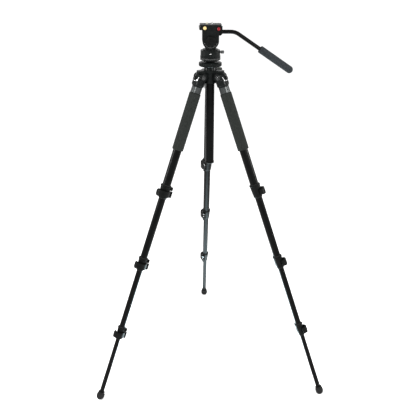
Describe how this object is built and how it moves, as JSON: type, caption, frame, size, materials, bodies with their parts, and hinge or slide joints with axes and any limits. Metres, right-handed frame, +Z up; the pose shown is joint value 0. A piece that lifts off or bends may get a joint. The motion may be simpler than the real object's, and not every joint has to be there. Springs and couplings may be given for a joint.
{
  "type": "tripod with fluid head",
  "caption": "Folding camera tripod with telescopic legs, lever locks, a centre column and a small fluid pan-and-tilt head with one bent pan handle.",
  "frame": {"origin": "on the floor, in the middle of the standing footprint's bounding box; the column's axis is at x = 0, y = -0.1166 m", "axes": "+Z up along the centre column; the head faces -X and its handle points to +X; +Y towards the back leg"},
  "size_m": [0.8358, 0.7276, 1.3],
  "materials": {
    "black_tube": "satin black anodised",
    "casting": "semi-gloss black enamel",
    "plastic": "fine moulded grain",
    "foam": "open-cell foam sleeve",
    "grip_rubber": "matt ribbed rubber",
    "foot_rubber": "matt rubber",
    "steel": "polished",
    "brass": "pale polished brass",
    "red_plastic": "glossy red",
    "plate_metal": "matt black with rubber strips",
    "level_glass": "clear bubble level window"
  },
  "bodies": {
    "shoulder": {"shoulder": "casting", "pivot_bolts": "steel"},
    "column_lock": {"column_lock_collar": "casting"},
    "column": {"column_tube": "black_tube", "column_plate": "casting", "column_cap": "plastic", "head_base": "casting"},
    "pan": {"pan_body": "casting"},
    "pan_lock": {"pan_lock_knob": "plastic"},
    "tilt": {"tilt_cradle": "casting"},
    "tilt_lock": {"tilt_lock_knob": "plastic"},
    "plate": {"quick_plate": "plate_metal"},
    "plate_screw": {"camera_screw": "steel"},
    "plate_pin": {"video_pin": "brass"},
    "plate_lock": {"plate_lock_knob": "brass"},
    "plate_button": {"plate_safety_button": "red_plastic"},
    "handle": {"handle_tube": "black_tube", "handle_grip": "grip_rubber"},
    "handle_clamp": {"handle_clamp_knob": "plastic"},
    "leg_1_upper": {"leg_1_hinge": "casting", "leg_1_tube_1": "black_tube", "leg_1_lock_1": "plastic", "leg_1_grip": "foam"},
    "leg_1_middle": {"leg_1_tube_2": "black_tube", "leg_1_lock_2": "plastic"},
    "leg_1_lower": {"leg_1_tube_3": "black_tube", "leg_1_lock_3": "plastic"},
    "leg_1_end": {"leg_1_tube_4": "black_tube", "leg_1_foot": "foot_rubber"},
    "leg_1_lever_1": {"leg_1_lever_1": "plastic"},
    "leg_1_lever_2": {"leg_1_lever_2": "plastic"},
    "leg_1_lever_3": {"leg_1_lever_3": "plastic"},
    "leg_1_angle_button": {"leg_1_angle_button": "plastic"},
    "leg_2_upper": {"leg_2_hinge": "casting", "leg_2_tube_1": "black_tube", "leg_2_lock_1": "plastic", "leg_2_grip": "foam"},
    "leg_2_middle": {"leg_2_tube_2": "black_tube", "leg_2_lock_2": "plastic"},
    "leg_2_lower": {"leg_2_tube_3": "black_tube", "leg_2_lock_3": "plastic"},
    "leg_2_end": {"leg_2_tube_4": "black_tube", "leg_2_foot": "foot_rubber"},
    "leg_2_lever_1": {"leg_2_lever_1": "plastic"},
    "leg_2_lever_2": {"leg_2_lever_2": "plastic"},
    "leg_2_lever_3": {"leg_2_lever_3": "plastic"},
    "leg_2_angle_button": {"leg_2_angle_button": "plastic"},
    "leg_3_upper": {"leg_3_hinge": "casting", "leg_3_tube_1": "black_tube", "leg_3_lock_1": "plastic"},
    "leg_3_middle": {"leg_3_tube_2": "black_tube", "leg_3_lock_2": "plastic"},
    "leg_3_lower": {"leg_3_tube_3": "black_tube", "leg_3_lock_3": "plastic"},
    "leg_3_end": {"leg_3_tube_4": "black_tube", "leg_3_foot": "foot_rubber"},
    "leg_3_lever_1": {"leg_3_lever_1": "plastic"},
    "leg_3_lever_2": {"leg_3_lever_2": "plastic"},
    "leg_3_lever_3": {"leg_3_lever_3": "plastic"},
    "leg_3_angle_button": {"leg_3_angle_button": "plastic"}
  },
  "joints": [
    {"name": "column_lock_turn", "type": "hinge", "parent": "shoulder", "child": "column_lock", "pos_m": [0, -0.1166, 1.1694], "axis": [0, 0, 1], "range_deg": [0, 90]},
    {"name": "column_slide", "type": "slide", "parent": "shoulder", "child": "column", "axis": [0, 0, 1], "range_m": [0, 0.25]},
    {"name": "pan", "type": "hinge", "parent": "column", "child": "pan", "pos_m": [0, -0.1166, 1.1954], "axis": [0, 0, 1], "continuous": true},
    {"name": "pan_lock_turn", "type": "hinge", "parent": "pan", "child": "pan_lock", "pos_m": [0.04, -0.1166, 1.2064], "axis": [1, 0, 0], "range_deg": [0, 90]},
    {"name": "tilt", "type": "hinge", "parent": "pan", "child": "tilt", "pos_m": [0, -0.1166, 1.244], "axis": [0, 1, 0], "range_deg": [-85, 60]},
    {"name": "tilt_lock_turn", "type": "hinge", "parent": "tilt", "child": "tilt_lock", "pos_m": [0, -0.1466, 1.244], "axis": [0, 1, 0], "range_deg": [0, 90]},
    {"name": "plate_slide", "type": "slide", "parent": "tilt", "child": "plate", "axis": [1, 0, 0], "range_m": [-0.02, 0.02]},
    {"name": "plate_screw_turn", "type": "hinge", "parent": "plate", "child": "plate_screw", "pos_m": [0.004, -0.1166, 1.294], "axis": [0, 0, 1], "continuous": true},
    {"name": "video_pin_press", "type": "slide", "parent": "plate", "child": "plate_pin", "axis": [0, 0, -1], "range_m": [0, 0.0025], "stiffness_N_per_m": 400, "springref_m": -0.001},
    {"name": "plate_lock_turn", "type": "hinge", "parent": "tilt", "child": "plate_lock", "pos_m": [-0.019, -0.1436, 1.284], "axis": [0, 1, 0], "range_deg": [0, 90]},
    {"name": "plate_button_press", "type": "slide", "parent": "tilt", "child": "plate_button", "axis": [0, 1, 0], "range_m": [0, 0.003], "stiffness_N_per_m": 400, "springref_m": -0.001},
    {"name": "handle_angle", "type": "hinge", "parent": "tilt", "child": "handle", "pos_m": [0.03, -0.0786, 1.2648], "axis": [0, 1, 0], "range_deg": [-45, 45]},
    {"name": "handle_clamp_turn", "type": "hinge", "parent": "tilt", "child": "handle_clamp", "pos_m": [0.03, -0.0646, 1.2648], "axis": [0, 1, 0], "range_deg": [0, 90]},
    {"name": "leg_1_fold", "type": "hinge", "parent": "shoulder", "child": "leg_1_upper", "pos_m": [-0.03291, -0.1356, 1.13], "axis": [0.5, -0.866, 0], "range_deg": [0, 21]},
    {"name": "leg_1_slide_1", "type": "slide", "parent": "leg_1_upper", "child": "leg_1_middle", "axis": [0.3104, 0.1792, 0.9336], "range_m": [0, 0.21]},
    {"name": "leg_1_lever_1_flip", "type": "hinge", "parent": "leg_1_upper", "child": "leg_1_lever_1", "pos_m": [-0.13568, -0.2083, 0.74752], "axis": [-0.3104, -0.1792, -0.9336], "range_deg": [-110, 0]},
    {"name": "leg_1_slide_2", "type": "slide", "parent": "leg_1_middle", "child": "leg_1_lower", "axis": [0.3104, 0.1792, 0.9336], "range_m": [0, 0.21]},
    {"name": "leg_1_lever_2_flip", "type": "hinge", "parent": "leg_1_middle", "child": "leg_1_lever_2", "pos_m": [-0.22099, -0.25625, 0.49801], "axis": [-0.3104, -0.1792, -0.9336], "range_deg": [-110, 0]},
    {"name": "leg_1_slide_3", "type": "slide", "parent": "leg_1_lower", "child": "leg_1_end", "axis": [0.3104, 0.1792, 0.9336], "range_m": [0, 0.21]},
    {"name": "leg_1_lever_3_flip", "type": "hinge", "parent": "leg_1_lower", "child": "leg_1_lever_3", "pos_m": [-0.30661, -0.30439, 0.24758], "axis": [-0.3104, -0.1792, -0.9336], "range_deg": [-110, 0]},
    {"name": "leg_1_angle_button_press", "type": "slide", "parent": "leg_1_upper", "child": "leg_1_angle_button", "axis": [0.8085, 0.4668, -0.3584], "range_m": [0, 0.003], "stiffness_N_per_m": 400, "springref_m": -0.001},
    {"name": "leg_2_fold", "type": "hinge", "parent": "shoulder", "child": "leg_2_upper", "pos_m": [0.03291, -0.1356, 1.13], "axis": [0.5, 0.866, 0], "range_deg": [0, 21]},
    {"name": "leg_2_slide_1", "type": "slide", "parent": "leg_2_upper", "child": "leg_2_middle", "axis": [-0.3104, 0.1792, 0.9336], "range_m": [0, 0.21]},
    {"name": "leg_2_lever_1_flip", "type": "hinge", "parent": "leg_2_upper", "child": "leg_2_lever_1", "pos_m": [0.14725, -0.18825, 0.74752], "axis": [0.3104, -0.1792, -0.9336], "range_deg": [-110, 0]},
    {"name": "leg_2_slide_2", "type": "slide", "parent": "leg_2_middle", "child": "leg_2_lower", "axis": [-0.3104, 0.1792, 0.9336], "range_m": [0, 0.21]},
    {"name": "leg_2_lever_2_flip", "type": "hinge", "parent": "leg_2_middle", "child": "leg_2_lever_2", "pos_m": [0.23144, -0.23815, 0.49801], "axis": [0.3104, -0.1792, -0.9336], "range_deg": [-110, 0]},
    {"name": "leg_2_slide_3", "type": "slide", "parent": "leg_2_lower", "child": "leg_2_end", "axis": [-0.3104, 0.1792, 0.9336], "range_m": [0, 0.21]},
    {"name": "leg_2_lever_3_flip", "type": "hinge", "parent": "leg_2_lower", "child": "leg_2_lever_3", "pos_m": [0.31594, -0.28824, 0.24758], "axis": [0.3104, -0.1792, -0.9336], "range_deg": [-110, 0]},
    {"name": "leg_2_angle_button_press", "type": "slide", "parent": "leg_2_upper", "child": "leg_2_angle_button", "axis": [-0.8085, 0.4668, -0.3584], "range_m": [0, 0.003], "stiffness_N_per_m": 400, "springref_m": -0.001},
    {"name": "leg_3_fold", "type": "hinge", "parent": "shoulder", "child": "leg_3_upper", "pos_m": [0, -0.0786, 1.13], "axis": [-1, 0, 0], "range_deg": [0, 21]},
    {"name": "leg_3_slide_1", "type": "slide", "parent": "leg_3_upper", "child": "leg_3_middle", "axis": [0, -0.3584, 0.9336], "range_m": [0, 0.21]},
    {"name": "leg_3_lever_1_flip", "type": "hinge", "parent": "leg_3_upper", "child": "leg_3_lever_1", "pos_m": [-0.01158, 0.04675, 0.74752], "axis": [0, 0.3584, -0.9336], "range_deg": [-110, 0]},
    {"name": "leg_3_slide_2", "type": "slide", "parent": "leg_3_middle", "child": "leg_3_lower", "axis": [0, -0.3584, 0.9336], "range_m": [0, 0.21]},
    {"name": "leg_3_lever_2_flip", "type": "hinge", "parent": "leg_3_middle", "child": "leg_3_lever_2", "pos_m": [-0.01045, 0.14461, 0.49801], "axis": [0, 0.3584, -0.9336], "range_deg": [-110, 0]},
    {"name": "leg_3_slide_3", "type": "slide", "parent": "leg_3_lower", "child": "leg_3_end", "axis": [0, -0.3584, 0.9336], "range_m": [0, 0.21]},
    {"name": "leg_3_lever_3_flip", "type": "hinge", "parent": "leg_3_lower", "child": "leg_3_lever_3", "pos_m": [-0.00932, 0.24283, 0.24758], "axis": [0, 0.3584, -0.9336], "range_deg": [-110, 0]},
    {"name": "leg_3_angle_button_press", "type": "slide", "parent": "leg_3_upper", "child": "leg_3_angle_button", "axis": [0, -0.9336, -0.3584], "range_m": [0, 0.003], "stiffness_N_per_m": 400, "springref_m": -0.001}
  ]
}
